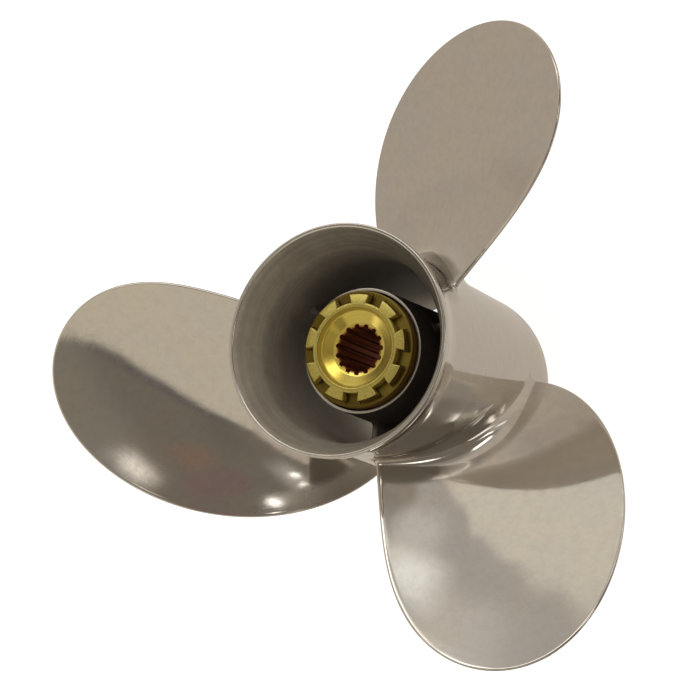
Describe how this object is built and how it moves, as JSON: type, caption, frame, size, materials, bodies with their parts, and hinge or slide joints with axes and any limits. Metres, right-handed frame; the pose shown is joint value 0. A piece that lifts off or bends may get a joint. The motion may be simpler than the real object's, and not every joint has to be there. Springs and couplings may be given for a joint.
{
  "type": "outboard boat propeller",
  "caption": "Left-hand stainless boat propeller: wide skewed blades on a flared barrel, ribs inside for exhaust, brass splined sleeve in rubber.",
  "frame": {"origin": "on the shaft's axis, in the plane of the barrel's forward rim, on which the propeller stands", "axes": "+Z along the shaft's axis, towards the aft ring; -Y is the side that the picture looks from"},
  "size_m": [0.2919, 0.3147, 0.1535],
  "materials": {
    "polished_stainless": "polished cast stainless steel, satin inside the barrel",
    "machined_brass": "machined brass with turning marks",
    "black_rubber": "moulded rubber"
  },
  "bodies": {
    "root": {"barrel": "polished_stainless", "inner_tube": "polished_stainless", "rib_1": "polished_stainless", "rib_2": "polished_stainless", "rib_3": "polished_stainless", "blade_1": "polished_stainless", "blade_2": "polished_stainless", "blade_3": "polished_stainless", "brass_drive_sleeve": "machined_brass", "rubber_bush": "black_rubber"}
  },
  "joints": []
}
